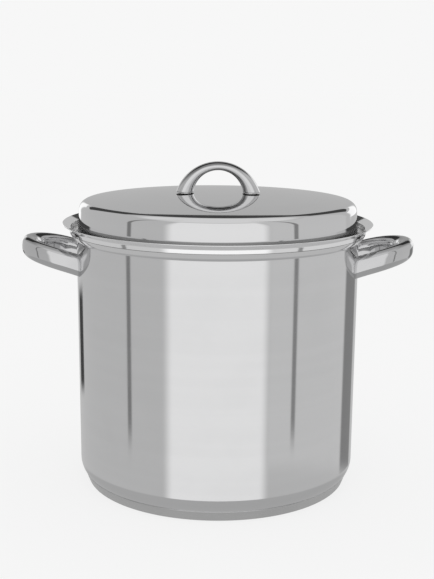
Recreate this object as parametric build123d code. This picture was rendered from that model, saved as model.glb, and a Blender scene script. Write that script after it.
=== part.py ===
from build123d import *
import os
from math import atan2, cos, radians, sin, sqrt, tan

# Water bath canner: a steel pot with a sandwich base and two loop handles, a domed lid with
# an arched handle, and a wire jar rack with two folding bails inside.
# Millimetres. +Z is up along the pot's centre line, z = 0 is the face that it stands on,
# and +X runs through the right-hand loop handle.

# ---------------------------------------------------------------- driving dimensions
# Pot shell
BODY_R = 140.0            # outside of the straight wall
WALL = 0.8                # sheet thickness of pot and lid
BASE_T = 7.3              # from the table to the underside of the shell's floor
CORNER_R = 20.0           # bend between the wall and the floor
TOE_R = 10.0              # tighter bend under the base seam
SEAM_DEG = 39.0           # how far down the corner bend the seam lies
SHOULDER_Z = 248.6        # top of the straight wall
SHOULDER_R = 11.6         # radius of the shoulder's own curve
COLLAR_R = 146.4          # outside of the collar above the shoulder
COLLAR_Z = (255.5, 260.5)
COLLAR_CROWN_R = 22.0     # barrel of the collar
LIP_LENGTH = 8.0          # flared pouring lip, from collar to edge
LIP_DEG = 26.0

# Sandwich base
CAP_T = 0.8
CAP_FOOT_R = 131.8        # where the cap's side would meet the table
CAP_TOP = (135.75, 10.5)  # r and z of the cap's upper edge
CAP_EDGE_R = 3.0
CAP_SIDE_SHARE = 0.6         # of the sheet's thickness that the side's foot moves in

# Lid
LID_TOP_Z = 293.0
DOME_R = 1200.0
LID_SHOULDER_R = 9.0
SKIRT_TOP_R = 137.2
SKIRT_DRAFT = radians(3.5)
FLANGE_Z = 251.5          # underside of the flange, just over the pot's ledge
FLANGE_R = 142.5
FLANGE_BEND_R = 1.6

# Lid handle: a crescent between two arcs, standing on two weld pads
ARCH_FOOT_Z = 293.3
ARCH_HALF_W = 41.6
ARCH_HEIGHT = 30.2
ARCH_INNER_R = 24.3
ARCH_INNER_DROP = 2.9     # how far the inner arc's centre lies below the feet
ARCH_DEPTH = 22.0
ARCH_EDGE_R = 3.2
PAD_R = 5.0
PAD_BLOCK_H = 3.0            # the pads are cut from this, between the dome and the feet
PAD_X = 32.0

# Loop handles on the pot
LOOP_ROOT = (135.0, 225.5)   # x and z of the bar's middle at the wall
LOOP_ROOT_DEG = 18.3         # how steeply the loop leaves the wall
LOOP_ARC_R = 400.0           # the loop levels out along this arc
LOOP_REACH = 195.0           # outermost x
LOOP_HALF_SPAN = 46.0        # outermost y
LOOP_BEND_R = 45.0           # outer bend in plan
BAR_W = 16.0
BAR_H = 20.5
BAR_EDGE_R = 7.5
BAR_WALL = 1.5
BAR_START_R = 120.0          # the bar is drawn from inside the wall and trimmed to it
BAR_BLOCK_H = 90.0           # taller than the whole loop

# Jar rack
RING_R = 130.0
RING_WIRE = 2.25          # wire radii
FRAME_WIRE = 2.0
FLOOR_WIRE = 1.6
DIVIDER_WIRE = 1.75
WELD = 0.1                # how far crossing wires sink into each other
RACK_FLOOR_GAP = 0.3      # feet above the pot's floor
BASE_RING_Z = 27.0
TOP_RING_Z = 115.0
CROSS_BAR_X = 50.0
FLOOR_WIRE_PITCH = 20.0
FLOOR_WIRE_COUNT = 12
UPRIGHT_COUNT = 10
JAR_PLACES = 6            # round the middle one
CENTRE_RING_R = 44.0
DIVIDER_BEND_R = 8.0
FOOT_COUNT = 4
FOOT_W = 22.0
FOOT_BEND_R = 5.0
FOOT_KNEE_R = 8.0            # where the foot turns inwards under the ring
FOOT_LEAN = 4.0              # how far its bottom lies inside its top
FOOT_WELD_UP = 1.0           # how far the foot's ends stand above the ring's middle
FOOT_WELD_DOWN = 3.0

# Bails of the rack
BAIL_WIRE = 2.0
BAIL_ARM_Y = 31.0
BAIL_LENGTH = 110.0
BAIL_BEND_R = 14.0
BAIL_PIN_BEND_R = 4.5
BAIL_PIN_END_Y = 47.0
BAIL_LEAN_DEG = 2.0       # leans outwards when it stands up
EYE_Y = 40.0
EYE_LENGTH = 7.0
EYE_R = 4.2
PIN_CLEARANCE = 0.08

# ---------------------------------------------------------------- worked out from them
SEAM = radians(SEAM_DEG)
CORNER_CR = BODY_R - CORNER_R
TOE_CR = CORNER_CR + (CORNER_R - TOE_R) * cos(SEAM)
TOE_CZ = BASE_T + TOE_R
CORNER_CZ = TOE_CZ + (CORNER_R - TOE_R) * sin(SEAM)
POT_FLOOR_Z = BASE_T + WALL
BAIL_PIVOT = (sqrt(RING_R**2 - EYE_Y**2), TOP_RING_Z + RING_WIRE + EYE_R - WELD)
FOOT_Z = POT_FLOOR_Z + RACK_FLOOR_GAP + FRAME_WIRE
FLOOR_WIRE_Z = BASE_RING_Z + RING_WIRE + FLOOR_WIRE - WELD
CENTRE_RING_Z = FLOOR_WIRE_Z + FLOOR_WIRE + DIVIDER_WIRE - WELD


# ---------------------------------------------------------------- helpers
def outline(*edges):
    """The flat face inside a closed row of edges."""
    return make_face(Curve() + list(edges))


def turned(face):
    """The solid that a half profile, drawn as x = radius and y = height, sweeps about Z."""
    return revolve(Plane.XZ * face, axis=Axis.Z)


def arc_centre(start, end, radius):
    """Centre of the arc from start to end that lies to the left of that direction."""
    dx, dy = end[0] - start[0], end[1] - start[1]
    half = sqrt(dx * dx + dy * dy) / 2
    rise = sqrt(radius**2 - half**2)
    middle = ((start[0] + end[0]) / 2, (start[1] + end[1]) / 2)
    return (middle[0] - dy / (2 * half) * rise, middle[1] + dx / (2 * half) * rise)


def arc_between(start, end, centre):
    """The short arc about a centre that joins two points at the same distance from it."""
    radius = sqrt((start[0] - centre[0]) ** 2 + (start[1] - centre[1]) ** 2)
    mid = ((start[0] + end[0]) / 2 - centre[0], (start[1] + end[1]) / 2 - centre[1])
    scale = radius / sqrt(mid[0] ** 2 + mid[1] ** 2)
    return ThreePointArc(start, (centre[0] + mid[0] * scale, centre[1] + mid[1] * scale), end)


def polar(centre, radius, angle):
    """The point at an angle on a circle."""
    return (centre[0] + radius * cos(angle), centre[1] + radius * sin(angle))


def rod(start, end, radius):
    """A straight round wire between two points."""
    direction = Vector(*end) - Vector(*start)
    plane = Plane(origin=start, z_dir=direction)
    return extrude(plane * Circle(radius), amount=direction.length)


def wire_along(path, radius):
    """A round wire that follows a path of straight runs and tangent bends."""
    return sweep(Plane(origin=path @ 0, z_dir=path % 0) * Circle(radius), path=path)


def hoop(radius, wire, z):
    """A closed ring of round wire that lies flat at a height."""
    return Pos(0, 0, z) * Torus(radius, wire)


def steps_round(count, first_deg=0.0):
    """Equal angles in degrees round the centre line."""
    return [first_deg + 360.0 / count * i for i in range(count)]


# ---------------------------------------------------------------- pot
def floor_bends(inset):
    """Floor line and the two bends up to the wall, moved inwards by inset, middle first."""
    toe = (TOE_CR, TOE_CZ)
    corner = (CORNER_CR, CORNER_CZ)
    floor_z = TOE_CZ - TOE_R + inset
    seam_point = polar(toe, TOE_R - inset, -SEAM)
    return [
        Line((0, floor_z), (TOE_CR, floor_z)),
        arc_between((TOE_CR, floor_z), seam_point, toe),
        arc_between(seam_point, (BODY_R - inset, CORNER_CZ), corner),
    ]


def pot_bottom():
    """Floor of the drawn shell with the two bends up to the wall."""
    return turned(outline(
        *floor_bends(0.0),
        Line((BODY_R, CORNER_CZ), (BODY_R - WALL, CORNER_CZ)),
        *floor_bends(WALL),
        Line((0, POT_FLOOR_Z), (0, BASE_T)),
    ))


def pot_wall():
    """Straight wall of the shell."""
    height = SHOULDER_Z - CORNER_CZ
    return Pos(0, 0, CORNER_CZ + height / 2) * (Cylinder(BODY_R, height) - Cylinder(BODY_R - WALL, height))


def pot_rim():
    """Top of the shell: the shoulder with its ledge, the collar and the flared lip."""
    shoulder_start = (BODY_R, SHOULDER_Z)
    collar_low = (COLLAR_R, COLLAR_Z[0])
    collar_high = (COLLAR_R, COLLAR_Z[1])
    shoulder_c = arc_centre(shoulder_start, collar_low, SHOULDER_R)
    crown_c = arc_centre(collar_low, collar_high, COLLAR_CROWN_R)

    lip_dir = (cos(radians(LIP_DEG)), sin(radians(LIP_DEG)))
    lip_up = (-lip_dir[1] * WALL, lip_dir[0] * WALL)
    lip_low = (COLLAR_R + LIP_LENGTH * lip_dir[0], COLLAR_Z[1] + LIP_LENGTH * lip_dir[1])
    lip_high = (lip_low[0] + lip_up[0], lip_low[1] + lip_up[1])
    lip_tip = ((lip_low[0] + lip_high[0] + WALL * lip_dir[0]) / 2,
               (lip_low[1] + lip_high[1] + WALL * lip_dir[1]) / 2)

    inner_wall = BODY_R - WALL
    inner_collar = COLLAR_R - WALL
    inner_shoulder_r = SHOULDER_R - WALL
    ledge_low = (inner_wall,
                 shoulder_c[1] - sqrt(inner_shoulder_r**2 - (inner_wall - shoulder_c[0]) ** 2))
    ledge_high = (inner_collar,
                  shoulder_c[1] - sqrt(inner_shoulder_r**2 - (inner_collar - shoulder_c[0]) ** 2))
    back = (COLLAR_R + lip_up[0] - inner_collar) / lip_dir[0]
    lip_root = (inner_collar, COLLAR_Z[1] + lip_up[1] - back * lip_dir[1])

    return turned(outline(
        arc_between(shoulder_start, collar_low, shoulder_c),
        arc_between(collar_low, collar_high, crown_c),
        Line(collar_high, lip_low),
        ThreePointArc(lip_low, lip_tip, lip_high),
        Line(lip_high, lip_root),
        Line(lip_root, ledge_high),
        arc_between(ledge_high, ledge_low, shoulder_c),
        Line(ledge_low, (inner_wall, SHOULDER_Z)),
        Line((inner_wall, SHOULDER_Z), shoulder_start),
    ))


def pot_floor_block():
    """Everything above the outside of the shell's floor, used to trim the base to it."""
    top_z = CORNER_CZ + CORNER_R
    return outline(
        *floor_bends(0.0),
        Line((BODY_R, CORNER_CZ), (BODY_R, top_z)),
        Line((BODY_R, top_z), (0, top_z)),
        Line((0, top_z), (0, BASE_T)),
    )


def cap_section(inset):
    """Half section of the base cap's outside, moved inwards by inset."""
    top_r, top_z = CAP_TOP
    low = (CAP_FOOT_R - inset * CAP_SIDE_SHARE, inset)
    high = (top_r - inset, top_z)
    face = outline(
        FilletPolyline((0, inset), low, high, radius=CAP_EDGE_R - inset),
        Line(high, (0, top_z)),
        Line((0, top_z), (0, inset)),
    )
    return face


def base_cap():
    """Pressed steel pan that closes the sandwich base and makes the face it stands on."""
    return turned(cap_section(0.0) - cap_section(CAP_T) - pot_floor_block())


def base_core():
    """Aluminium disc between the cap and the pot's floor, which spreads the heat."""
    return turned(cap_section(CAP_T) - pot_floor_block())


def loop_band(inset, edge_r):
    """The right-hand loop as a bar of rectangular section with rounded edges."""
    arc_x = LOOP_ROOT[0] + LOOP_ARC_R * sin(radians(LOOP_ROOT_DEG))
    arc_z = LOOP_ROOT[1] - LOOP_ARC_R * cos(radians(LOOP_ROOT_DEG))
    half_h = BAR_H / 2 - inset

    def plan(margin, bend_r):
        reach = LOOP_REACH - margin
        span = LOOP_HALF_SPAN - margin
        return outline(
            FilletPolyline((BAR_START_R, -span), (reach, -span), (reach, span), (BAR_START_R, span),
                           radius=bend_r),
            Line((BAR_START_R, span), (BAR_START_R, -span)),
        )

    flat = plan(inset, LOOP_BEND_R - inset) - plan(BAR_W - inset, LOOP_BEND_R - BAR_W + inset)
    block = extrude(Pos(0, 0, LOOP_ROOT[1]) * flat, amount=BAR_BLOCK_H / 2, both=True)
    axis = Pos(arc_x, 0, arc_z) * Rot(90, 0, 0)
    width = 3 * LOOP_HALF_SPAN
    band = axis * Cylinder(LOOP_ARC_R + half_h, width) - axis * Cylinder(LOOP_ARC_R - half_h, width)
    bar = (block & band).solids()[0]
    long_edges = [
        edge for edge in bar.edges()
        if edge.bounding_box().max.X > BODY_R
        and edge.bounding_box().size.X + edge.bounding_box().size.Y > BAR_WALL
    ]
    return fillet(long_edges, edge_r)


def right_handle():
    """Hollow loop handle, open only where it is welded to the wall."""
    tube = loop_band(0.0, BAR_EDGE_R) - loop_band(BAR_WALL, BAR_EDGE_R - BAR_WALL)
    shell = Pos(0, 0, LOOP_ROOT[1]) * Cylinder(BODY_R, BAR_BLOCK_H)
    return (tube - shell).solids().sort_by(Axis.X)[-1]


def left_handle():
    """The same loop on the other side."""
    return mirror(right_handle(), about=Plane.YZ)


# ---------------------------------------------------------------- lid
def lid_edges(inset):
    """Dome, shoulder and skirt as one open row of edges, moved inwards by inset."""
    dome_cz = LID_TOP_Z - DOME_R
    bend_cr = SKIRT_TOP_R - LID_SHOULDER_R * cos(SKIRT_DRAFT)
    bend_cz = dome_cz + sqrt((DOME_R - LID_SHOULDER_R) ** 2 - bend_cr**2)
    crown_angle = atan2(bend_cz - dome_cz, bend_cr)
    dome_end = polar((0, dome_cz), DOME_R - inset, crown_angle)
    skirt_top = polar((bend_cr, bend_cz), LID_SHOULDER_R - inset, SKIRT_DRAFT)
    flange_z = FLANGE_Z + WALL - inset
    skirt_low = (skirt_top[0] + (skirt_top[1] - flange_z) * tan(SKIRT_DRAFT), flange_z)
    return [
        arc_between((0, LID_TOP_Z - inset), dome_end, (0, dome_cz)),
        arc_between(dome_end, skirt_top, (bend_cr, bend_cz)),
        FilletPolyline(skirt_top, skirt_low, (FLANGE_R, flange_z), radius=FLANGE_BEND_R + inset),
    ]


def lid_shell():
    """Domed lid with a drawn skirt and a flange that drops into the pot's collar."""
    profile = outline(
        *lid_edges(0.0),
        Line((FLANGE_R, FLANGE_Z + WALL), (FLANGE_R, FLANGE_Z)),
        *lid_edges(WALL),
        Line((0, LID_TOP_Z - WALL), (0, LID_TOP_Z)),
    )
    return turned(profile)


def lid_block():
    """The lid's outside as a filled solid, used to trim what stands on it."""
    return turned(outline(
        *lid_edges(0.0),
        Line((FLANGE_R, FLANGE_Z + WALL), (0, FLANGE_Z + WALL)),
        Line((0, FLANGE_Z + WALL), (0, LID_TOP_Z)),
    ))


def lid_handle():
    """Arched lid handle with two broad feet."""
    foot = ARCH_FOOT_Z
    inner_half = sqrt(ARCH_INNER_R**2 - ARCH_INNER_DROP**2)
    face = outline(
        ThreePointArc((-ARCH_HALF_W, foot), (0, foot + ARCH_HEIGHT), (ARCH_HALF_W, foot)),
        Line((ARCH_HALF_W, foot), (inner_half, foot)),
        ThreePointArc((inner_half, foot), (0, foot - ARCH_INNER_DROP + ARCH_INNER_R),
                      (-inner_half, foot)),
        Line((-inner_half, foot), (-ARCH_HALF_W, foot)),
    )
    arch = extrude(Plane.XZ * face, amount=ARCH_DEPTH / 2, both=True)
    rims = [
        edge for edge in arch.edges()
        if edge.bounding_box().size.Z > PAD_R
    ]
    return fillet(rims, ARCH_EDGE_R)


def lid_handle_weld_pads():
    """Two low round pads that join the handle's feet to the dome."""
    dome = lid_block()
    height = PAD_BLOCK_H
    pads = []
    for side in (-1, 1):
        disc = Pos(side * PAD_X, 0, ARCH_FOOT_Z - height / 2) * Cylinder(PAD_R, height)
        pads.append((disc - dome).solids()[0])
    return pads


# ---------------------------------------------------------------- jar rack
def rack_base_ring():
    """Lower ring of the rack."""
    return hoop(RING_R, RING_WIRE, BASE_RING_Z)


def rack_top_ring():
    """Upper ring of the rack."""
    return hoop(RING_R, RING_WIRE, TOP_RING_Z)


def rack_cross_bars():
    """Two bars across the lower ring, flush with its top, under the floor wires."""
    z = BASE_RING_Z + RING_WIRE - FRAME_WIRE
    reach = sqrt((RING_R - RING_WIRE) ** 2 - CROSS_BAR_X**2)
    return [rod((x, -reach, z), (x, reach, z), FRAME_WIRE) for x in (-CROSS_BAR_X, CROSS_BAR_X)]


def rack_floor_wires():
    """Parallel wires that the jars stand on."""
    wires = []
    for i in range(FLOOR_WIRE_COUNT):
        y = (i - (FLOOR_WIRE_COUNT - 1) / 2) * FLOOR_WIRE_PITCH
        reach = sqrt((RING_R + FLOOR_WIRE) ** 2 - y * y)
        wires.append(rod((-reach, y, FLOOR_WIRE_Z), (reach, y, FLOOR_WIRE_Z), FLOOR_WIRE))
    return wires


def rack_centre_ring():
    """Small ring on the floor wires, round the middle jar's place."""
    return hoop(CENTRE_RING_R, DIVIDER_WIRE, CENTRE_RING_Z)


def rack_uprights():
    """Upright wires between the two rings."""
    low = BASE_RING_Z + RING_WIRE - WELD
    high = TOP_RING_Z - RING_WIRE + WELD
    posts = []
    for angle in steps_round(UPRIGHT_COUNT, 180.0 / UPRIGHT_COUNT):
        x, y = polar((0, 0), RING_R, radians(angle))
        posts.append(rod((x, y, low), (x, y, high), FRAME_WIRE))
    return posts


def rack_dividers():
    """Bent wires that part the jars: up from the small ring and out to the upper ring."""
    low = CENTRE_RING_Z + DIVIDER_WIRE - WELD
    outer = RING_R - RING_WIRE + WELD
    path = FilletPolyline((CENTRE_RING_R, 0, low), (CENTRE_RING_R, 0, TOP_RING_Z),
                          (outer, 0, TOP_RING_Z), radius=DIVIDER_BEND_R)
    divider = wire_along(path, DIVIDER_WIRE)
    return [Rot(0, 0, angle) * divider for angle in steps_round(JAR_PLACES, 180.0 / JAR_PLACES)]


def rack_feet():
    """Four wire stirrups inside the lower ring, which hold the jars off the pot's floor."""
    half = FOOT_W / 2
    r = sqrt((RING_R - RING_WIRE - FRAME_WIRE + WELD) ** 2 - half * half)
    top = BASE_RING_Z + FOOT_WELD_UP
    knee = BASE_RING_Z - FOOT_WELD_DOWN
    low_r = r - FOOT_LEAN
    corners = [(r, -half, top), (r, -half, knee), (low_r, -half, FOOT_Z),
               (low_r, half, FOOT_Z), (r, half, knee), (r, half, top)]
    bends = [FOOT_KNEE_R, FOOT_BEND_R, FOOT_BEND_R, FOOT_KNEE_R]
    path = FilletPolyline(*corners, radius=bends)
    foot = wire_along(path, FRAME_WIRE)
    return [Rot(0, 0, angle) * foot for angle in steps_round(FOOT_COUNT, 180.0 / FOOT_COUNT)]


def right_eyes():
    """Two short tubes on the upper ring that the right bail turns in."""
    bore = BAIL_WIRE + PIN_CLEARANCE
    eyes = []
    for side in (-1, 1):
        place = Pos(BAIL_PIVOT[0], side * EYE_Y, BAIL_PIVOT[1]) * Rot(90, 0, 0)
        eyes.append(place * (Cylinder(EYE_R, EYE_LENGTH) - Cylinder(bore, EYE_LENGTH)))
    return eyes


def right_bail():
    """Folding wire handle of the rack, its ends turned outwards as hinge pins."""
    pin_y = BAIL_PIN_END_Y
    arm_y = BAIL_ARM_Y
    corners = [(0, -pin_y, 0), (0, -arm_y, 0), (0, -arm_y, BAIL_LENGTH),
               (0, arm_y, BAIL_LENGTH), (0, arm_y, 0), (0, pin_y, 0)]
    bends = [BAIL_PIN_BEND_R, BAIL_BEND_R, BAIL_BEND_R, BAIL_PIN_BEND_R]
    path = FilletPolyline(*corners, radius=bends)
    bail = wire_along(path, BAIL_WIRE)
    return Pos(BAIL_PIVOT[0], 0, BAIL_PIVOT[1]) * Rot(0, BAIL_LEAN_DEG, 0) * bail


def mirrored(shape):
    """The same piece or pieces on the -X side."""
    if isinstance(shape, list):
        return [mirror(one, about=Plane.YZ) for one in shape]
    return mirror(shape, about=Plane.YZ)


# ---------------------------------------------------------------- write the parts
NODES = {
    "pot_bottom": pot_bottom,
    "pot_wall": pot_wall,
    "pot_rim": pot_rim,
    "base_core": base_core,
    "base_cap": base_cap,
    "left_handle": left_handle,
    "right_handle": right_handle,
    "lid_shell": lid_shell,
    "lid_handle": lid_handle,
    "lid_handle_weld_pads": lid_handle_weld_pads,
    "rack_base_ring": rack_base_ring,
    "rack_cross_bars": rack_cross_bars,
    "rack_floor_wires": rack_floor_wires,
    "rack_centre_ring": rack_centre_ring,
    "rack_feet": rack_feet,
    "rack_uprights": rack_uprights,
    "rack_top_ring": rack_top_ring,
    "rack_dividers": rack_dividers,
    "rack_left_eyes": lambda: mirrored(right_eyes()),
    "rack_right_eyes": right_eyes,
    "rack_left_bail": lambda: mirrored(right_bail()),
    "rack_right_bail": right_bail,
}

os.makedirs("parts", exist_ok=True)
for node, build in NODES.items():
    piece = build()
    if isinstance(piece, list):
        piece = Compound([solid for one in piece for solid in one.solids()])
    export_step(piece, f"parts/{node}.step")
    print(node, len(piece.solids()), round(piece.volume, 1))
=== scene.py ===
import logging
import math
from dataclasses import dataclass, field
from enum import Enum

import bmesh
import bpy
from mathutils import Matrix, Vector


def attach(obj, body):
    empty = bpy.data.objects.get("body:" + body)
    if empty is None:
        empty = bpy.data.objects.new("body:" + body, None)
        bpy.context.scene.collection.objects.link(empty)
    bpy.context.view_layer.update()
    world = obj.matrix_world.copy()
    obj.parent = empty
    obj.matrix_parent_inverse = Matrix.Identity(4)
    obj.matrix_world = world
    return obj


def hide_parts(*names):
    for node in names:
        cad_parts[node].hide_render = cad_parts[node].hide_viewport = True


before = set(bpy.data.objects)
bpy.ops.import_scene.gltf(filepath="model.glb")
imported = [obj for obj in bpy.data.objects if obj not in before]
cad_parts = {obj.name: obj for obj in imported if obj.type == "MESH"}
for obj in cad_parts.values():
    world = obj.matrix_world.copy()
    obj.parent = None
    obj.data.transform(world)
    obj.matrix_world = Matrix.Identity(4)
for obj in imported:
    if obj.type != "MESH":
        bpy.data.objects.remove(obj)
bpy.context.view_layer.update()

LOG = logging.getLogger("canner")
MM = 0.001
Point = tuple[float, float]


class Body(Enum):
    """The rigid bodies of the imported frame."""

    POT = "pot"
    LID = "lid"
    RACK = "rack"
    LEFT_BAIL = "left_bail"
    RIGHT_BAIL = "right_bail"


class Slot(Enum):
    """Material slots of the record."""

    POT = "pot_steel"
    CORE = "core_aluminium"
    BASE = "base_steel"
    HANDLE = "handle_steel"
    LID = "lid_steel"
    WIRE = "rack_wire"


class Side(Enum):
    """The two sides of the pot that carry handles."""

    LEFT = -1.0
    RIGHT = 1.0


class Lay(Enum):
    """The way polishing marks run over a surface."""

    TURNED = "rings about the centre line"
    DRAWN = "straight along the piece"


# ---------------------------------------------------------------- shader groups
def group_socket(tree: bpy.types.NodeTree, name: str, flow: str, kind: str, value: float = 0.0) -> None:
    """Adds one named socket to a node group.

    Args:
        tree: the group's node tree.
        name: the socket's name.
        flow: INPUT or OUTPUT.
        kind: the socket's type, without the NodeSocket prefix.
        value: the default of a float input.
    """
    socket = tree.interface.new_socket(name=name, in_out=flow, socket_type=f"NodeSocket{kind}")
    if kind == "Float" and flow == "INPUT":
        socket.default_value = value


class NodeBench:
    """A small helper that adds and links nodes in one tree."""

    def __init__(self, tree: bpy.types.NodeTree) -> None:
        """Keeps the tree to work on."""
        self.tree = tree

    def add(self, kind: str, **values: object) -> bpy.types.Node:
        """Adds a node and sets its properties.

        Args:
            kind: the node's type name.
            values: properties of the node.

        Returns:
            The new node.
        """
        node = self.tree.nodes.new(kind)
        for key, value in values.items():
            setattr(node, key, value)
        return node

    def link(self, source: bpy.types.NodeSocket, target: bpy.types.NodeSocket) -> None:
        """Joins an output to an input."""
        self.tree.links.new(source, target)

    def math(self, operation: str, *terms: object, clamp: bool = False) -> bpy.types.NodeSocket:
        """Adds a Math node.

        Args:
            operation: the node's operation.
            terms: numbers or sockets, in the order of the node's inputs.
            clamp: whether the result stays between 0 and 1.

        Returns:
            The node's output.
        """
        node = self.add("ShaderNodeMath", operation=operation, use_clamp=clamp)
        for index, term in enumerate(terms):
            if isinstance(term, bpy.types.NodeSocket):
                self.link(term, node.inputs[index])
            else:
                node.inputs[index].default_value = term
        return node.outputs[0]

    def span(self, value: bpy.types.NodeSocket, low: float, high: float,
             to_low: float = 0.0, to_high: float = 1.0, smooth: bool = True) -> bpy.types.NodeSocket:
        """Maps a value from one range to another, clamped.

        Args:
            value: the value to map.
            low: where the range starts.
            high: where the range ends.
            to_low: the result at low.
            to_high: the result at high.
            smooth: whether the ends are eased.

        Returns:
            The mapped value.
        """
        kind = "SMOOTHSTEP" if smooth else "LINEAR"
        node = self.add("ShaderNodeMapRange", interpolation_type=kind)
        self.link(value, node.inputs["Value"])
        node.inputs["From Min"].default_value = low
        node.inputs["From Max"].default_value = high
        node.inputs["To Min"].default_value = to_low
        node.inputs["To Max"].default_value = to_high
        return node.outputs["Result"]

    def blend(self, factor: bpy.types.NodeSocket, first: object, second: object) -> bpy.types.NodeSocket:
        """Mixes two colours.

        Args:
            factor: 0 for the first colour, 1 for the second.
            first: a colour or a socket.
            second: a colour or a socket.

        Returns:
            The mixed colour.
        """
        node = self.add("ShaderNodeMix", data_type="RGBA")
        self.link(factor, node.inputs[0])
        for socket, colour in ((node.inputs[6], first), (node.inputs[7], second)):
            if isinstance(colour, bpy.types.NodeSocket):
                self.link(colour, socket)
            else:
                socket.default_value = (*colour, 1.0)
        return node.outputs[2]

    def noise(self, vector: bpy.types.NodeSocket, scale: float, detail: float,
              roughness: float = 0.5) -> bpy.types.NodeSocket:
        """Adds a noise texture and returns its value."""
        node = self.add("ShaderNodeTexNoise")
        node.inputs["Scale"].default_value = scale
        node.inputs["Detail"].default_value = detail
        node.inputs["Roughness"].default_value = roughness
        self.link(vector, node.inputs["Vector"])
        return node.outputs["Fac"]


def mark_masks(bench: NodeBench, vector: bpy.types.NodeSocket, result: bpy.types.Node) -> None:
    """Fills a group's outputs with fine polishing lines and the broader swells between them.

    Args:
        bench: the group's nodes.
        vector: the stretched point that the marks follow.
        result: the group's output node.
    """
    lines = bench.noise(vector, 1.0, 3.0, 0.6)
    swell = bench.noise(vector, 0.06, 2.0)
    bench.link(bench.span(lines, 0.3, 0.7, smooth=False), result.inputs["Lines"])
    bench.link(bench.span(swell, 0.35, 0.65), result.inputs["Swell"])


def turned_marks_group() -> bpy.types.NodeTree:
    """Marks left by a turning wheel: nearly constant round a ring, quick across it.

    Returns:
        A group from a point to a mask of lines and a mask of swells, both from 0 to 1.
    """
    tree = bpy.data.node_groups.new("turned_marks", "ShaderNodeTree")
    group_socket(tree, "Point", "INPUT", "Vector")
    group_socket(tree, "Round", "INPUT", "Float", 3.0)
    group_socket(tree, "Across", "INPUT", "Float", 900.0)
    group_socket(tree, "Lines", "OUTPUT", "Float")
    group_socket(tree, "Swell", "OUTPUT", "Float")
    bench = NodeBench(tree)
    source = bench.add("NodeGroupInput")
    result = bench.add("NodeGroupOutput")
    parts = bench.add("ShaderNodeSeparateXYZ")
    bench.link(source.outputs["Point"], parts.inputs[0])
    x, y, z = parts.outputs
    squared = bench.math("ADD", bench.math("MULTIPLY", x, x), bench.math("MULTIPLY", y, y))
    radius = bench.math("SQRT", bench.math("MAXIMUM", squared, 1e-8))
    joined = bench.add("ShaderNodeCombineXYZ")
    for index, axis in enumerate((x, y)):
        turn = bench.math("DIVIDE", axis, radius)
        bench.link(bench.math("MULTIPLY", turn, source.outputs["Round"]), joined.inputs[index])
    across = bench.math("MULTIPLY", bench.math("ADD", radius, z), source.outputs["Across"])
    bench.link(across, joined.inputs[2])
    mark_masks(bench, joined.outputs[0], result)
    return tree


def drawn_marks_group() -> bpy.types.NodeTree:
    """Straight marks along a piece, longer where the stretch is smaller.

    Returns:
        A group from a point to a mask of lines and a mask of swells, both from 0 to 1.
    """
    tree = bpy.data.node_groups.new("drawn_marks", "ShaderNodeTree")
    group_socket(tree, "Point", "INPUT", "Vector")
    group_socket(tree, "Stretch", "INPUT", "Vector")
    group_socket(tree, "Lines", "OUTPUT", "Float")
    group_socket(tree, "Swell", "OUTPUT", "Float")
    bench = NodeBench(tree)
    source = bench.add("NodeGroupInput")
    result = bench.add("NodeGroupOutput")
    scaled = bench.add("ShaderNodeVectorMath", operation="MULTIPLY")
    bench.link(source.outputs["Point"], scaled.inputs[0])
    bench.link(source.outputs["Stretch"], scaled.inputs[1])
    mark_masks(bench, scaled.outputs[0], result)
    return tree


def handling_haze_group() -> bpy.types.NodeTree:
    """Cloudy patches and small specks that hands and washing leave on polished metal.

    Returns:
        A group from a point to a haze mask and a speck mask, both from 0 to 1.
    """
    tree = bpy.data.node_groups.new("handling_haze", "ShaderNodeTree")
    group_socket(tree, "Point", "INPUT", "Vector")
    group_socket(tree, "Haze", "OUTPUT", "Float")
    group_socket(tree, "Specks", "OUTPUT", "Float")
    bench = NodeBench(tree)
    source = bench.add("NodeGroupInput")
    result = bench.add("NodeGroupOutput")
    haze = bench.noise(source.outputs["Point"], 22.0, 4.0, 0.55)
    specks = bench.noise(source.outputs["Point"], 900.0, 1.0)
    bench.link(bench.span(haze, 0.42, 0.72), result.inputs["Haze"])
    bench.link(bench.span(specks, 0.70, 0.78), result.inputs["Specks"])
    return tree


@dataclass
class GroupShelf:
    """The shader groups, each built once."""

    turned_marks: bpy.types.NodeTree
    drawn_marks: bpy.types.NodeTree
    handling_haze: bpy.types.NodeTree

    @classmethod
    def build(cls) -> "GroupShelf":
        """Builds the groups and returns the shelf that holds them."""
        return cls(turned_marks_group(), drawn_marks_group(), handling_haze_group())


@dataclass(frozen=True)
class PaintedShade:
    """A painted shade: a darker tone on the faces that look one way, in the piece's own frame.

    It is chosen for its look and stands in for the dark reflections that those faces show. It isn't a
    mark that the real piece is known to have.
    """

    towards: tuple[float, float, float]
    start: float
    full: float
    depth: float


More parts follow.
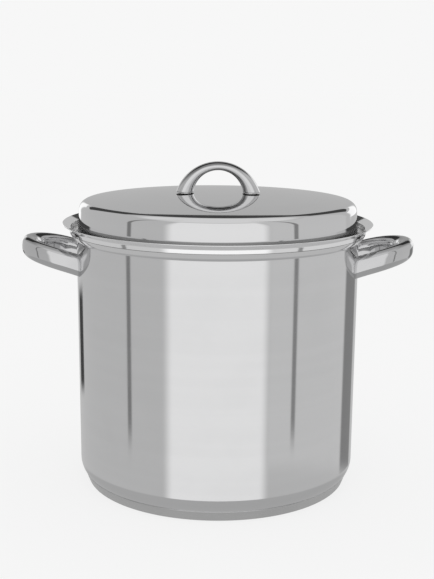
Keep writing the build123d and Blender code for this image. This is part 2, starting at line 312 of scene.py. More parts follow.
@dataclass(frozen=True)
class MetalFinish:
    """One metal surface: its colour, gloss, the marks that its making left, and any painted shade."""

    name: str
    colour: tuple[float, float, float]
    roughness: float
    lay: Lay = Lay.TURNED
    line_pitch: float = 0.9
    line_depth: float = 0.05
    line_dulling: float = 0.03
    haze_dulling: float = 0.04
    haze_shade: float = 0.03
    anisotropy: float = 0.0
    painted_shades: tuple[PaintedShade, ...] = ()
    ring_swing: float = 3.0
    speck_dulling: float = 0.10
    mark_height: float = 0.02
    stretch: tuple[float, float, float] = (40.0, 900.0, 900.0)

    def material(self, shelf: GroupShelf) -> bpy.types.Material:
        """Builds the finish as a node material.

        Args:
            shelf: the shared shader groups.

        Returns:
            The material.
        """
        material = bpy.data.materials.new(self.name)
        material.use_nodes = True
        tree = material.node_tree
        bench = NodeBench(tree)
        shader = tree.nodes["Principled BSDF"]
        shader.inputs["Metallic"].default_value = 1.0
        shader.inputs["Anisotropic"].default_value = self.anisotropy
        place = bench.add("ShaderNodeTexCoord").outputs["Object"]

        marks = self._marks(bench, shelf)
        bench.link(place, marks.inputs["Point"])
        haze = bench.add("ShaderNodeGroup", node_tree=shelf.handling_haze)
        bench.link(place, haze.inputs["Point"])

        dull = bench.math("MULTIPLY", marks.outputs["Lines"], self.line_dulling)
        dull = bench.math("MULTIPLY_ADD", haze.outputs["Haze"], self.haze_dulling, dull)
        dull = bench.math("MULTIPLY_ADD", haze.outputs["Specks"], self.speck_dulling, dull)
        bench.link(bench.math("ADD", dull, self.roughness), shader.inputs["Roughness"])

        darker = tuple(c * (1.0 - 2.5 * self.haze_shade) for c in self.colour)
        tone = bench.math("MULTIPLY_ADD", marks.outputs["Swell"], 0.5,
                          bench.math("MULTIPLY", haze.outputs["Haze"], 0.5))
        surface = bench.blend(tone, self.colour, darker)
        # Painted shade: each entry darkens the faces that look one way, in place of the dark reflections
        # that they show.
        for facing_shade in self.painted_shades:
            facing = bench.add("ShaderNodeVectorMath", operation="DOT_PRODUCT")
            bench.link(bench.add("ShaderNodeTexCoord").outputs["Normal"], facing.inputs[0])
            facing.inputs[1].default_value = facing_shade.towards
            mask = bench.span(facing.outputs["Value"], facing_shade.start, facing_shade.full, 0.0, facing_shade.depth)
            surface = bench.blend(mask, surface, (0.0, 0.0, 0.0))
        bench.link(surface, shader.inputs["Base Color"])

        bump = bench.add("ShaderNodeBump")
        bump.inputs["Strength"].default_value = self.line_depth
        bump.inputs["Distance"].default_value = self.mark_height * MM
        bench.link(marks.outputs["Lines"], bump.inputs["Height"])
        bench.link(bump.outputs["Normal"], shader.inputs["Normal"])
        return material

    def _marks(self, bench: NodeBench, shelf: GroupShelf) -> bpy.types.Node:
        """Adds the group of polishing marks that suits the finish.

        Args:
            bench: the material's nodes.
            shelf: the shared shader groups.

        Returns:
            The group node, with its settings filled in.
        """
        if self.lay is Lay.TURNED:
            marks = bench.add("ShaderNodeGroup", node_tree=shelf.turned_marks)
            marks.inputs["Round"].default_value = self.ring_swing
            marks.inputs["Across"].default_value = 1.0 / (self.line_pitch * MM)
            return marks
        marks = bench.add("ShaderNodeGroup", node_tree=shelf.drawn_marks)
        marks.inputs["Stretch"].default_value = self.stretch
        return marks


@dataclass
class Finishes:
    """Every finish on the canner, built once as a material."""

    shelf: GroupShelf
    made: dict[str, bpy.types.Material] = field(default_factory=dict)

    def of(self, finish: MetalFinish) -> bpy.types.Material:
        """The material of a finish, built at its first use."""
        if finish.name not in self.made:
            self.made[finish.name] = finish.material(self.shelf)
        return self.made[finish.name]


# Tones are set to suit this studio. They are not measured reflectances of steel.
POT_POLISH = MetalFinish("pot_polish", (0.76, 0.76, 0.765), 0.045, line_pitch=0.7,
                         line_depth=0.02, line_dulling=0.02, haze_dulling=0.03, haze_shade=0.012)
POT_INSIDE = MetalFinish("pot_inside_satin", (0.86, 0.86, 0.86), 0.26, line_pitch=0.5,
                         line_depth=0.25, line_dulling=0.12, anisotropy=0.5)
# Painted highlight: a lighter copy of the pot's polish for the shoulder, collar and lip, in place of the
# brighter reflections there.
RIM_PAINTED_HIGHLIGHT = MetalFinish("rim_painted_highlight", (0.97, 0.97, 0.975), 0.04, line_pitch=0.6,
                         line_depth=0.02, line_dulling=0.02, haze_dulling=0.03, haze_shade=0.012)
# Painted shade: a dark copy of the steel for the collar groove on the pot and the lower skirt and flange
# of the lid, where shade falls.
RECESS_PAINTED_SHADE = MetalFinish("recess_painted_shade", (0.33, 0.33, 0.33), 0.22, line_pitch=0.5,
                          line_depth=0.1, line_dulling=0.1, haze_dulling=0.1, haze_shade=0.05)
LID_MIRROR = MetalFinish("lid_mirror", (0.76, 0.76, 0.765), 0.02, line_pitch=0.8,
                         line_depth=0.01, line_dulling=0.015, haze_dulling=0.015, haze_shade=0.01)
BASE_SATIN = MetalFinish("base_satin", (0.72, 0.72, 0.72), 0.16, line_pitch=0.4,
                         line_depth=0.15, line_dulling=0.08)
# The loop handles carry painted shade on their upward faces.
HANDLE_BUFFED = MetalFinish("handle_buffed", (0.67, 0.67, 0.675), 0.04, lay=Lay.DRAWN,
                            stretch=(500.0, 500.0, 900.0), line_depth=0.02, line_dulling=0.02,
                            painted_shades=(PaintedShade((0.0, 0.0, 1.0), 0.55, 0.85, 0.45),))
# The arch carries painted shade on its upward faces and on the faces under it that look down and to the
# left.
ARCH_BUFFED = MetalFinish("arch_buffed", (0.70, 0.70, 0.705), 0.04, lay=Lay.DRAWN,
                          stretch=(500.0, 500.0, 900.0), line_depth=0.02, line_dulling=0.02,
                          painted_shades=(PaintedShade((-0.2, 0.0, 0.98), 0.45, 0.75, 0.62),
                                  PaintedShade((-0.6, 0.0, -0.8), 0.35, 0.60, 0.52)))
WIRE_BRIGHT = MetalFinish("wire_bright", (0.77, 0.77, 0.78), 0.12, lay=Lay.DRAWN,
                          stretch=(700.0, 700.0, 700.0), line_depth=0.1, line_dulling=0.08)
CORE_ROLLED = MetalFinish("core_rolled", (0.74, 0.75, 0.76), 0.35, lay=Lay.DRAWN,
                          stretch=(60.0, 900.0, 900.0), line_depth=0.3, line_dulling=0.15)
# Painted shade: near black on the two end faces of the arch, for the shadowed gap between its feet and
# the dome.
FOOT_GAP_SHADE = MetalFinish("foot_gap_painted_shade", (0.06, 0.055, 0.05), 0.6, lay=Lay.DRAWN,
                         stretch=(300.0, 300.0, 300.0), line_depth=0.3, line_dulling=0.1)


# ---------------------------------------------------------------- outlines and meshes
def polar(centre: Point, radius: float, degrees: float) -> Point:
    """The point at an angle on a circle."""
    angle = math.radians(degrees)
    return (centre[0] + radius * math.cos(angle), centre[1] + radius * math.sin(angle))


def left_centre(start: Point, end: Point, radius: float) -> Point:
    """Centre of the arc from start to end that lies to the left of that direction."""
    dx, dy = end[0] - start[0], end[1] - start[1]
    half = math.hypot(dx, dy) / 2
    rise = math.sqrt(radius**2 - half**2)
    return ((start[0] + end[0]) / 2 - dy / (2 * half) * rise,
            (start[1] + end[1]) / 2 + dx / (2 * half) * rise)


@dataclass
class Outline:
    """A half section in millimetres, radius and height, built up from runs and arcs."""

    points: list[Point] = field(default_factory=list)
    marks: list[int] = field(default_factory=list)
    mark: int = 0
    support: float = 0.2
    longest: float = 9.0
    arc_step: float = 5.0

    def start(self, point: Point) -> "Outline":
        """Puts down the first point."""
        self.points.append(point)
        return self

    def _put(self, point: Point) -> None:
        """Adds a point and marks the run that leads to it."""
        self.points.append(point)
        self.marks.append(self.mark)

    def line(self, end: Point) -> "Outline":
        """Runs straight to a point, with support points near both ends.

        Args:
            end: where the run ends.

        Returns:
            The outline, to go on with.
        """
        x, y = self.points[-1]
        length = math.hypot(end[0] - x, end[1] - y)
        stations: list[float] = []
        if length > 3 * self.support:
            count = max(1, math.ceil(length / self.longest))
            stations = [self.support / length]
            stations += [i / count for i in range(1, count)]
            stations.append(1 - self.support / length)
        for share in (*stations, 1.0):
            self._put((x + (end[0] - x) * share, y + (end[1] - y) * share))
        return self

    def arc(self, centre: Point, end: Point) -> "Outline":
        """Follows the short arc about a centre to a point.

        Args:
            centre: the arc's centre.
            end: where the arc ends.

        Returns:
            The outline, to go on with.
        """
        x, y = self.points[-1]
        radius = math.hypot(x - centre[0], y - centre[1])
        first = math.atan2(y - centre[1], x - centre[0])
        last = math.atan2(end[1] - centre[1], end[0] - centre[0])
        turn = (last - first + math.pi) % (2 * math.pi) - math.pi
        by_angle = math.degrees(abs(turn)) / self.arc_step
        by_length = abs(turn) * radius / self.longest
        count = max(2, math.ceil(max(by_angle, by_length)))
        for i in range(1, count):
            angle = first + turn * i / count
            self._put((centre[0] + radius * math.cos(angle), centre[1] + radius * math.sin(angle)))
        self._put(end)
        return self

    def bend(self, corner: Point, end: Point, radius: float) -> "Outline":
        """Runs towards a corner, rounds it and goes on to a point.

        Args:
            corner: the corner to round.
            end: where the second run ends.
            radius: the radius of the rounding.

        Returns:
            The outline, to go on with.
        """
        start = Vector(self.points[-1])
        middle = Vector(corner)
        away = (start - middle).normalized()
        onward = (Vector(end) - middle).normalized()
        half = away.angle(onward) / 2
        reach = radius / math.tan(half)
        centre = middle + (away + onward).normalized() * (radius / math.sin(half))
        self.line(tuple(middle + away * reach))
        self.arc(tuple(centre), tuple(middle + onward * reach))
        return self.line(end)


def new_piece(name: str, mesh: bpy.types.Mesh) -> bpy.types.Object:
    """Wraps a mesh in an object that is linked to the scene."""
    piece = bpy.data.objects.new(name, mesh)
    bpy.context.scene.collection.objects.link(piece)
    return piece


def finish_mesh(name: str, verts: list[Vector], faces: list[tuple[int, ...]],
                marks: list[int] | None = None) -> bpy.types.Object:
    """Makes a smooth closed piece from points in millimetres.

    Args:
        name: the piece's name.
        verts: the points, in millimetres.
        faces: the faces.
        marks: one material index for each face.

    Returns:
        The piece.
    """
    mesh = bpy.data.meshes.new(name)
    mesh.from_pydata([Vector(v) * MM for v in verts], [], faces)
    if marks:
        mesh.polygons.foreach_set("material_index", marks)
    bench = bmesh.new()
    bench.from_mesh(mesh)
    bmesh.ops.recalc_face_normals(bench, faces=bench.faces)
    bench.to_mesh(mesh)
    bench.free()
    mesh.shade_smooth()
    mesh.update()
    return new_piece(name, mesh)


def turned_piece(name: str, outline: Outline, steps: int = 256, closed: bool = False) -> bpy.types.Object:
    """Turns a half section about the centre line.

    Args:
        name: the piece's name.
        outline: the half section.
        steps: how many flats make the full turn.
        closed: whether the section's end joins its start.

    Returns:
        The piece.
    """
    verts: list[Vector] = []
    rows: list[list[int]] = []
    for radius, height in outline.points:
        if radius < 1e-6:
            verts.append(Vector((0, 0, height)))
            rows.append([len(verts) - 1])
            continue
        row = []
        for i in range(steps):
            angle = 2 * math.pi * i / steps
            verts.append(Vector((radius * math.cos(angle), radius * math.sin(angle), height)))
            row.append(len(verts) - 1)
        rows.append(row)
    pairs = list(zip(rows, rows[1:], outline.marks))
    if closed:
        pairs.append((rows[-1], rows[0], outline.marks[-1]))
    faces: list[tuple[int, ...]] = []
    marks: list[int] = []
    for low, high, mark in pairs:
        for i in range(steps):
            j = (i + 1) % steps
            if len(low) == 1:
                faces.append((low[0], high[j], high[i]))
            elif len(high) == 1:
                faces.append((low[i], low[j], high[0]))
            else:
                faces.append((low[i], low[j], high[j], high[i]))
            marks.append(mark)
    return finish_mesh(name, verts, faces, marks)


def skin_rings(rings: list[list[Vector]], closed: bool = False) -> list[tuple[int, ...]]:
    """Faces between neighbouring rings of points, with the two ends capped unless closed.

    Args:
        rings: rings with the same number of points.
        closed: whether the last ring joins the first.

    Returns:
        The faces.
    """
    size = len(rings[0])
    count = len(rings)
    faces: list[tuple[int, ...]] = []
    for i in range(count if closed else count - 1):
        j = (i + 1) % count
        for k in range(size):
            m = (k + 1) % size
            faces.append((i * size + k, i * size + m, j * size + m, j * size + k))
    if not closed:
        faces.append(tuple(range(size)))
        faces.append(tuple((count - 1) * size + k for k in range(size)))
    return faces


def rounded_section(half_w: float, half_h: float, corner: float, steps: int = 8) -> list[Point]:
    """Points round a rectangle with rounded corners and a support point beside each corner."""
    points: list[Point] = []
    for quarter in range(4):
        sign_x = 1 if quarter in (0, 3) else -1
        sign_y = 1 if quarter in (0, 1) else -1
        centre = (sign_x * (half_w - corner), sign_y * (half_h - corner))
        for i in range(steps + 1):
            points.append(polar(centre, corner, 90.0 * quarter + 90.0 * i / steps))
    return points


def oval_section(half_w: float, half_h: float, power: float, steps: int = 48) -> list[Point]:
    """Points round a superellipse: a power of 2 is an ellipse and more is squarer."""
    points: list[Point] = []
    for i in range(steps):
        angle = 2 * math.pi * i / steps
        c, s = math.cos(angle), math.sin(angle)
        points.append((math.copysign(abs(c) ** (2 / power), c) * half_w,
                       math.copysign(abs(s) ** (2 / power), s) * half_h))
    return points


# ---------------------------------------------------------------- the pot
@dataclass
class PotShell:
    """The drawn steel shell, in millimetres."""

    body_r: float = 140.0
    wall: float = 0.8
    floor_z: float = 7.3
    corner_r: float = 20.0
    toe_r: float = 10.0
    seam_deg: float = 39.0
    shoulder_z: float = 248.6
    shoulder_r: float = 11.6
    collar_r: float = 146.4
    collar_z: Point = (255.5, 260.5)
    crown_r: float = 22.0
    groove_h: float = 0.5
    lip_length: float = 7.8
    lip_deg: float = 26.0

    def bends(self, inset: float) -> tuple[Point, Point, Point, Point]:
        """Centres of the toe and corner bends, and the two points where the toe bend ends."""
        seam = math.radians(self.seam_deg)
        gap = self.corner_r - self.toe_r
        toe = (self.body_r - self.corner_r + gap * math.cos(seam), self.floor_z + self.toe_r)
        corner = (self.body_r - self.corner_r, toe[1] + gap * math.sin(seam))
        low = (toe[0], self.floor_z + inset)
        return toe, corner, low, polar(toe, self.toe_r - inset, -self.seam_deg)

    def section(self) -> Outline:
        """The shell's half section, from the middle of its underside round to its inner floor."""
        toe, corner, low, seam = self.bends(0.0)
        section = Outline().start((0.0, self.floor_z))
        section.line(low).arc(toe, seam).arc(corner, (self.body_r, corner[1]))
        shoulder_low = (self.body_r, self.shoulder_z)
        collar_low = (self.collar_r, self.collar_z[0])
        collar_high = (self.collar_r, self.collar_z[1])
        shoulder_c = left_centre(shoulder_low, collar_low, self.shoulder_r)
        section.line(shoulder_low)
        # Mark 2 puts the rim's painted highlight on the shoulder, collar and lip.
        section.mark = 2
        section.arc(shoulder_c, collar_low)
        # Mark 3 puts painted shade in the thin groove at the foot of the collar.
        section.mark = 3
        section.line((self.collar_r, self.collar_z[0] + self.groove_h))
        section.mark = 2
        groove_top = section.points[-1]
        section.arc(left_centre(groove_top, collar_high, self.crown_r), collar_high)
        along = Vector(polar((0, 0), 1.0, self.lip_deg))
        up = Vector((-along.y, along.x)) * self.wall
        edge_low = Vector(collar_high) + along * self.lip_length
        edge_high = edge_low + up
        section.line(tuple(edge_low)).arc(tuple(edge_low + up / 2 - along * 0.05), tuple(edge_high))
        inner_r = self.collar_r - self.wall
        back = (self.collar_r + up.x - inner_r) / along.x
        section.line((inner_r, self.collar_z[1] + up.y - back * along.y))
        inner_shoulder = self.shoulder_r - self.wall
        body_in = self.body_r - self.wall
        section.line(self._on_circle(shoulder_c, inner_shoulder, inner_r))
        section.mark = 1
        section.arc(shoulder_c, self._on_circle(shoulder_c, inner_shoulder, body_in))
        toe, corner, low, seam = self.bends(self.wall)
        section.line((body_in, corner[1])).arc(corner, seam).arc(toe, low)
        return section.line((0.0, self.floor_z + self.wall))

    @staticmethod
    def _on_circle(centre: Point, radius: float, r: float) -> Point:
        """The lower point of a circle at a distance r from the centre line."""
        return (r, centre[1] - math.sqrt(radius**2 - (r - centre[0]) ** 2))

    def build(self, finishes: Finishes) -> bpy.types.Object:
        """Makes the shell, polished outside and satin inside, with a painted highlight on the rim and a
        painted shade line in the collar groove.
        """
        piece = turned_piece("pot_shell", self.section())
        for finish in (POT_POLISH, POT_INSIDE, RIM_PAINTED_HIGHLIGHT, RECESS_PAINTED_SHADE):
            piece.data.materials.append(finishes.of(finish))
        return piece


@dataclass
class BaseCap:
    """The pressed pan under the pot, in millimetres."""

    foot_r: float = 131.8
    top: Point = (135.75, 10.5)
    edge_r: float = 3.0
    sheet: float = 0.8

    def build(self, finishes: Finishes) -> bpy.types.Object:
        """Makes the cap with its rounded foot and upper edge."""
        section = Outline(arc_step=8.0).start((0.0, 0.0))
        section.bend((self.foot_r, 0.0), self.top, self.edge_r)
        inner_top = (self.top[0] - self.sheet, self.top[1] - 0.1)
        section.arc(((self.top[0] + inner_top[0]) / 2, self.top[1] - 0.35), inner_top)
        section.bend((self.foot_r - 0.5, self.sheet), (0.0, self.sheet), self.edge_r - self.sheet)
        piece = turned_piece("base_cap_pan", section)
        piece.data.materials.append(finishes.of(BASE_SATIN))
        return piece


@dataclass
class LoopHandle:
    """One welded loop handle, in millimetres, drawn for the right-hand side."""

    side: Side
    root: Point = (135.0, 225.5)
    root_deg: float = 18.3
    arc_r: float = 400.0
    reach: float = 194.99
    half_span: float = 46.0
    bend_r: float = 45.0
    bar_w: float = 16.0
    bar_h: float = 20.5
    edge_r: float = 7.6
    seat_r: float = 139.5

    def centre_line(self) -> list[tuple[Vector, Vector]]:
        """Points along the bar's middle in plan, each with the direction away from the gap."""
        mid_r = self.bend_r - self.bar_w / 2
        x = self.reach - self.bend_r
        y = self.half_span - self.bend_r
        leg_y = self.half_span - self.bar_w / 2
        start = math.sqrt(self.seat_r**2 - leg_y**2)
        legs = [start + (x - start) * i / 8 for i in range(8)]
        line = [(Vector((px, -leg_y)), Vector((0, -1))) for px in legs]
        for sign in (-1, 1):
            for i in range(25):
                angle = (-90 + 90 * i / 24) if sign < 0 else 90 * i / 24
                out = Vector(polar((0, 0), 1.0, angle))
                line.append((Vector((x, sign * y)) + out * mid_r, out))
        line += [(Vector((px, leg_y)), Vector((0, 1))) for px in reversed(legs)]
        return line

    def height(self, x: float, v: float) -> float:
        """Height of a point of the section at a distance x from the centre line."""
        centre_x = self.root[0] + self.arc_r * math.sin(math.radians(self.root_deg))
        centre_z = self.root[1] - self.arc_r * math.cos(math.radians(self.root_deg))
        return centre_z + math.sqrt((self.arc_r + v) ** 2 - (x - centre_x) ** 2)

    def build(self, finishes: Finishes) -> bpy.types.Object:
        """Sweeps the rounded bar along its loop and seats both ends in the wall."""
        section = rounded_section(self.bar_w / 2, self.bar_h / 2, self.edge_r)
        rings: list[list[Vector]] = []
        line = self.centre_line()
        for index, (middle, out) in enumerate(line):
            ring = []
            for u, v in section:
                plan = middle + out * u
                if index in (0, len(line) - 1):
                    plan.x = math.sqrt(self.seat_r**2 - plan.y**2)
                ring.append(Vector((self.side.value * plan.x, plan.y, self.height(plan.x, v))))
            rings.append(ring)
        name = f"{self.side.name.lower()}_loop_handle"
        piece = finish_mesh(name, [v for ring in rings for v in ring], skin_rings(rings))
        piece.data.materials.append(finishes.of(HANDLE_BUFFED))
        return piece


# ---------------------------------------------------------------- the lid
@dataclass
class LidShell:
    """The domed lid, in millimetres."""

    top_z: float = 293.0
    dome_r: float = 1200.0
    shoulder_r: float = 9.0
    skirt_r: float = 137.2
    draft_deg: float = 3.5
    flange_z: float = 251.5
    flange_r: float = 142.5
    flange_bend: float = 1.6
    seat_z: float = 264.7
    wall: float = 0.8

    def half_skin(self, inset: float) -> dict[str, Point]:
        """The named points of the lid's skin, moved inwards by inset."""
        draft = math.radians(self.draft_deg)
        dome_c = (0.0, self.top_z - self.dome_r)
        bend_r = self.skirt_r - self.shoulder_r * math.cos(draft)
        bend_z = dome_c[1] + math.sqrt((self.dome_r - self.shoulder_r) ** 2 - bend_r**2)
        crown = math.degrees(math.atan2(bend_z - dome_c[1], bend_r))
        skirt = polar((bend_r, bend_z), self.shoulder_r - inset, self.draft_deg)
        flange = self.flange_z + self.wall - inset
        return {
            "dome_c": dome_c,
            "bend_c": (bend_r, bend_z),
            "top": (0.0, self.top_z - inset),
            "dome_end": polar(dome_c, self.dome_r - inset, crown),
            "skirt": skirt,
            "corner": (skirt[0] + (skirt[1] - flange) * math.tan(draft), flange),
            "flange": (self.flange_r, flange),
        }

    def build(self, finishes: Finishes) -> bpy.types.Object:
        """Turns the dome, skirt and flange as one closed skin."""
        out = self.half_skin(0.0)
        ins = self.half_skin(self.wall)
        section = Outline().start(out["top"])
        section.arc(out["dome_c"], out["dome_end"]).arc(out["bend_c"], out["skirt"])
        share = (out["skirt"][1] - self.seat_z) / (out["skirt"][1] - out["corner"][1])
        section.line((out["skirt"][0] + (out["corner"][0] - out["skirt"][0]) * share, self.seat_z))
        # Mark 2 puts painted shade on the skirt below the seat and on the flange.
        section.mark = 2
        section.bend(out["corner"], out["flange"], self.flange_bend)
        section.mark = 1
        middle = (self.flange_r - 0.05, (out["flange"][1] + ins["flange"][1]) / 2)
        section.arc(middle, ins["flange"])
        section.bend(ins["corner"], ins["skirt"], self.flange_bend + self.wall)
        section.arc(ins["bend_c"], ins["dome_end"]).arc(ins["dome_c"], ins["top"])
        piece = turned_piece("lid_dome", section)
        for finish in (LID_MIRROR, POT_INSIDE, RECESS_PAINTED_SHADE):
            piece.data.materials.append(finishes.of(finish))
        return piece


@dataclass
class LidArch:
    """The arched lid handle, in millimetres: a crescent between two arcs."""

    foot_z: float = 293.75
    half_w: float = 41.5
    rise: float = 29.7
    inner_r: float = 24.3
    inner_drop: float = 2.9
    depth: float = 22.0
    power: float = 2.3
    stations: int = 97

    def arc_points(self, outer: bool) -> list[Point]:
        """Points along one of the two arcs, from the left foot to the right foot."""
        if outer:
            radius = (self.half_w**2 + self.rise**2) / (2 * self.rise)
            drop = radius - self.rise
        else:
            radius, drop = self.inner_r, self.inner_drop
        foot = math.degrees(math.asin(drop / radius))
        sweep = 180.0 - 2 * foot
        centre = (0.0, self.foot_z - drop)
        last = self.stations - 1
        return [polar(centre, radius, 180.0 - foot - sweep * i / last) for i in range(self.stations)]

    def build(self, finishes: Finishes) -> bpy.types.Object:
        """Lofts the oval strap between the two arcs."""
        unit = oval_section(1.0, self.depth / 2, self.power)
        rings: list[list[Vector]] = []
        for outer, inner in zip(self.arc_points(True), self.arc_points(False)):
            middle = (Vector(outer) + Vector(inner)) / 2
            across = (Vector(outer) - Vector(inner)) / 2
            ring = [middle + across * u for u, _ in unit]
            rings.append([Vector((p.x, v, p.y)) for p, (_, v) in zip(ring, unit)])
        faces = skin_rings(rings)
        # The two end faces take the painted shade of the foot gap.
        marks = [0] * (len(faces) - 2) + [1, 1]
        piece = finish_mesh("lid_arch_handle", [v for r in rings for v in r], faces, marks)
        piece.data.materials.append(finishes.of(ARCH_BUFFED))
        piece.data.materials.append(finishes.of(FOOT_GAP_SHADE))
        return piece


# ---------------------------------------------------------------- CAD nodes that stay
def dress_node(node: str, material: bpy.types.Material) -> None:
    """Gives a carried-over CAD node its finish.

    Args:
        node: the node's name.
        material: the finish.
    """
    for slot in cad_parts[node].material_slots:
        slot.material = material


# ---------------------------------------------------------------- studio
@dataclass(frozen=True)
class SoftPanel:
    """One plain sheet hung round the pot, bright or dim, placed by bearing and rise in degrees."""

    name: str
    bearing: float
    half_width: float
    low: float
    high: float
    grey: float
    feather: float = 5.0
    lift: float = 1.0


PANELS = (
    SoftPanel("front key", 0.0, 35.0, -25.0, 50.0, 220.0, feather=10.0),
    SoftPanel("right fill", 85.0, 40.0, -20.0, 50.0, 185.0),
    SoftPanel("right flag", 140.0, 10.0, -20.0, -8.0, 120.0),
    SoftPanel("left slit", -150.0, 5.0, -16.0, -12.0, 60.0, feather=3.0),
    SoftPanel("left edge light", -160.0, 5.0, -8.0, 15.0, 240.0),
    SoftPanel("right window", 150.0, 10.0, -5.0, 15.0, 240.0),
    SoftPanel("back wall", 180.0, 12.0, -5.0, 20.0, 165.0),
    SoftPanel("ceiling gap", 180.0, 35.0, 20.0, 45.0, 60.0),
)


@dataclass
class Studio:
    """Pale floor and a few plain soft panels that the steel mirrors."""

    steel_share: float = 0.76
    backdrop_grey: float = 247.0
    room_grey: float = 175.0
    table_grey: float = 160.0
    ceiling_grey: float = 205.0
    table_rise: tuple[float, float] = (-26.0, -21.0)
    ceiling_rise: tuple[float, float] = (50.0, 60.0)
    seams: tuple[float, float] = (65.0, -75.0)
    seam_half_width: float = 3.0
    seam_depth: float = 0.6
    seam_rise: tuple[float, float] = (-20.0, 75.0)
    floor_reach: float = 14.0
    paper_glow: float = 0.85
    lens_mm: float = 69.8
    shift_up: float = 0.0718
    eye: tuple[float, float, float] = (0.0, -1.113, 0.422)
    pitch_deg: float = 13.65
    roll_deg: float = 0.46

    def radiance(self, grey: float) -> float:
        """The light that a wall must give for the steel to show a grey level.

        Args:
            grey: a display grey from 0 to 255.

        Returns:
            The linear radiance.
        """
        share = grey / 255.0
        linear = share / 12.92 if share <= 0.04045 else ((share + 0.055) / 1.055) ** 2.4
        return linear / self.steel_share

    def _paint(self, grey: float) -> tuple[float, float, float]:
        """The neutral colour of a wall that shows a grey level."""
        return (self.radiance(grey),) * 3

    @staticmethod
    def _off(bench: NodeBench, bearing: bpy.types.NodeSocket, centre: float) -> bpy.types.NodeSocket:
        """How far a bearing lies from a centre, in degrees, the short way round."""
        turned = bench.math("MODULO", bench.math("ADD", bearing, 540.0 - centre), 360.0)
        return bench.math("ABSOLUTE", bench.math("SUBTRACT", turned, 180.0))

    def light(self) -> None:
        """Builds the world: panels for the steel, an even white for everything else."""
        world = bpy.data.worlds.new("studio")
        bpy.context.scene.world = world
        world.use_nodes = True
        bench = NodeBench(world.node_tree)
        world.node_tree.nodes.clear()
        direction = bench.add("ShaderNodeSeparateXYZ")
        bench.link(bench.add("ShaderNodeTexCoord").outputs["Generated"], direction.inputs[0])
        x, y, z = direction.outputs
        turn = bench.math("ARCTAN2", x, bench.math("MULTIPLY", y, -1.0))
        bearing = bench.math("DEGREES", turn)
        rise = bench.math("DEGREES", bench.math("ARCSINE", z))

        above = bench.span(rise, *self.table_rise)
        walls = bench.blend(above, self._paint(self.table_grey), self._paint(self.room_grey))
        for panel in PANELS:
            off = self._off(bench, bearing, panel.bearing)
            mask = bench.span(off, panel.half_width + panel.feather, panel.half_width)
            mask = bench.math("MULTIPLY", mask, bench.span(rise, panel.low - panel.lift, panel.low))
            mask = bench.math("MULTIPLY", mask, bench.span(rise, panel.high + panel.lift, panel.high))
            walls = bench.blend(mask, walls, self._paint(panel.grey))
        walls = bench.blend(bench.span(rise, *self.ceiling_rise), walls, self._paint(self.ceiling_grey))
        low, high = self.seam_rise
        for seam in self.seams:
            off = self._off(bench, bearing, seam)
            mask = bench.span(off, self.seam_half_width, self.seam_half_width / 3)
            mask = bench.math("MULTIPLY", mask, bench.span(rise, low, low + 2.0))
            mask = bench.math("MULTIPLY", mask, bench.span(rise, high, high - 5.0))
            walls = bench.blend(bench.math("MULTIPLY", mask, self.seam_depth), walls, (0.0, 0.0, 0.0))

        path = bench.add("ShaderNodeLightPath")
        seen = (self.radiance(self.backdrop_grey) * self.steel_share,) * 3
        colour = bench.blend(path.outputs["Is Glossy Ray"], seen, walls)
        background = bench.add("ShaderNodeBackground")
        bench.link(colour, background.inputs["Color"])
        output = bench.add("ShaderNodeOutputWorld")
        bench.link(background.outputs[0], output.inputs[0])

    def floor(self) -> bpy.types.Object:
        """Lays a plain pale floor under the pot."""
        mesh = bpy.data.meshes.new("studio_floor")
        reach = self.floor_reach
        corners = [(-reach, -reach, 0), (reach, -reach, 0), (reach, reach, 0), (-reach, reach, 0)]
        mesh.from_pydata(corners, [], [(0, 1, 2, 3)])
        piece = new_piece("studio_floor", mesh)
        material = bpy.data.materials.new("floor_paper")
        material.use_nodes = True
        bench = NodeBench(material.node_tree)
        shader = material.node_tree.nodes["Principled BSDF"]
        shader.inputs["Roughness"].default_value = 1.0
        shader.inputs["Specular IOR Level"].default_value = 0.0
        place = bench.add("ShaderNodeTexCoord").outputs["Object"]
        grain = bench.noise(place, 3.0, 2.0)
        matt = 1.0 - self.paper_glow
        near = (matt + 0.002,) * 3
        far = (matt - 0.002,) * 3
        bench.link(bench.blend(grain, near, far), shader.inputs["Base Color"])
        glow = self.radiance(self.backdrop_grey) * self.steel_share * self.paper_glow
        bench.link(bench.blend(grain, (glow,) * 3, (glow * 0.998,) * 3), shader.inputs["Emission Color"])
        shader.inputs["Emission Strength"].default_value = 1.0
        mesh.materials.append(material)
        piece.visible_glossy = False
        return piece

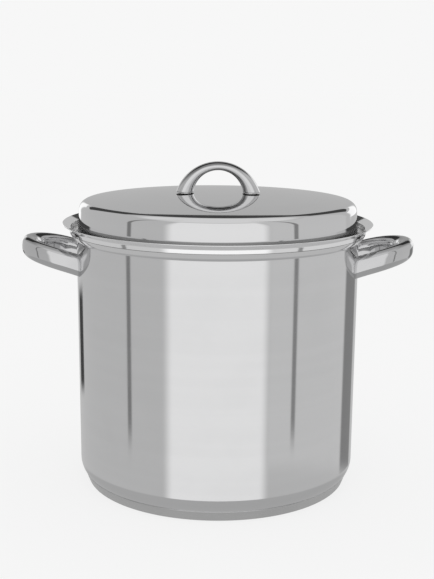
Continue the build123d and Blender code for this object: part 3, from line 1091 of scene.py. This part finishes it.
    def camera(self) -> bpy.types.Object:
        """Sets up the camera a little above the lid, looking slightly down."""
        data = bpy.data.cameras.new("camera")
        data.lens = self.lens_mm
        data.shift_y = self.shift_up
        data.clip_end = 60.0
        camera = bpy.data.objects.new("camera", data)
        tilt = Matrix.Rotation(math.radians(90.0 - self.pitch_deg), 4, "X")
        roll = Matrix.Rotation(math.radians(self.roll_deg), 4, "Z")
        camera.matrix_world = Matrix.Translation(self.eye) @ tilt @ roll
        bpy.context.scene.collection.objects.link(camera)
        bpy.context.scene.camera = camera
        return camera


# ---------------------------------------------------------------- the whole canner
@dataclass
class Canner:
    """Builds the pieces in order and hands each to the frame."""

    finishes: Finishes

    def place(self, piece: bpy.types.Object, body: Body, slot: Slot, *nodes: str) -> None:
        """Hands a piece to the frame and reports it.

        Args:
            piece: the new piece.
            body: the body that it moves with.
            slot: the record's material slot; not used.
            nodes: the CAD nodes that it stands for.
        """
        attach(piece, body.value)
        if nodes:
            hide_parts(*nodes)
        LOG.info("%s rides on %s for %s", piece.name, body.value, ", ".join(nodes) or "itself")

    def build(self) -> None:
        """Makes the pieces of the pot and lid, and gives the carried-over nodes of the base core, weld
        pads and rack their finishes.
        """
        self.place(PotShell().build(self.finishes), Body.POT, Slot.POT,
                   "pot_bottom", "pot_wall", "pot_rim")
        self.place(BaseCap().build(self.finishes), Body.POT, Slot.BASE, "base_cap")
        dress_node("base_core", self.finishes.of(CORE_ROLLED))
        for side in Side:
            handle = LoopHandle(side).build(self.finishes)
            self.place(handle, Body.POT, Slot.HANDLE, f"{side.name.lower()}_handle")
        self.place(LidShell().build(self.finishes), Body.LID, Slot.LID, "lid_shell")
        self.place(LidArch().build(self.finishes), Body.LID, Slot.HANDLE, "lid_handle")
        dress_node("lid_handle_weld_pads", self.finishes.of(HANDLE_BUFFED))
        wire = self.finishes.of(WIRE_BRIGHT)
        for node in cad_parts:
            if node.startswith("rack_"):
                dress_node(node, wire)


def main() -> None:
    """Builds the studio and the canner."""
    logging.basicConfig(level=logging.INFO, format="%(name)s: %(message)s")
    scene = bpy.context.scene
    scene.view_settings.view_transform = "Standard"
    scene.view_settings.look = "None"
    studio = Studio()
    studio.camera()
    studio.light()
    studio.floor()
    Canner(Finishes(GroupShelf.build())).build()


if __name__ == "__main__":
    main()
